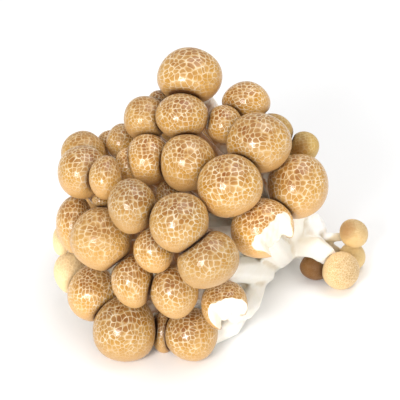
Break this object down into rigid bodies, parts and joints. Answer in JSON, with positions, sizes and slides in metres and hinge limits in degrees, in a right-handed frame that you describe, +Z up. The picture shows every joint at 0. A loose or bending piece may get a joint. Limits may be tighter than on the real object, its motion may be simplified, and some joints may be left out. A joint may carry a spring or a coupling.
{
  "type": "beech mushroom cluster",
  "caption": "Bunch of small beech mushrooms with marbled brown caps and white stems that share one cut base, lying on its side.",
  "frame": {"origin": "centre of the bunch's bounding box in plan, at the height of the surface that it lies on", "axes": "+X to the right across the face of caps, -Y out of the face towards the viewer, +Z up from the surface that it lies on"},
  "size_m": [0.1182, 0.1058, 0.0889],
  "materials": {
    "cap_skin": "satin, moist, with a net of paler raised lines",
    "stem_flesh": "matte"
  },
  "bodies": {
    "root": {"stems_and_base": "stem_flesh", "cap_01": "cap_skin", "cap_02": "cap_skin", "cap_03": "cap_skin", "cap_04": "cap_skin", "cap_05": "cap_skin", "cap_06": "cap_skin", "cap_07": "cap_skin", "cap_08": "cap_skin", "cap_09": "cap_skin", "cap_10": "cap_skin", "cap_11": "cap_skin", "cap_12": "cap_skin", "cap_13": "cap_skin", "cap_14": "cap_skin", "cap_15": "cap_skin", "cap_16": "cap_skin", "cap_17": "cap_skin", "cap_18": "cap_skin", "cap_19": "cap_skin", "cap_20": "cap_skin", "cap_21": "cap_skin", "cap_22": "cap_skin", "cap_23": "cap_skin", "cap_24": "cap_skin", "cap_25": "cap_skin", "cap_26": "cap_skin", "cap_27": "cap_skin", "cap_28": "cap_skin", "cap_29": "cap_skin", "cap_30": "cap_skin", "cap_31": "cap_skin", "cap_32": "cap_skin", "cap_33": "cap_skin", "cap_34": "cap_skin", "cap_35": "cap_skin", "cap_36": "cap_skin", "cap_37": "cap_skin", "cap_38": "cap_skin", "cap_39": "cap_skin", "cap_40": "cap_skin", "cap_41": "cap_skin", "cap_42": "cap_skin", "cap_43": "cap_skin", "cap_44": "cap_skin", "cap_45": "cap_skin", "cap_46": "cap_skin", "cap_47": "cap_skin", "cap_48": "cap_skin", "cap_49": "cap_skin", "cap_50": "cap_skin", "cap_51": "cap_skin", "cap_52": "cap_skin", "cap_53": "cap_skin"}
  },
  "joints": []
}
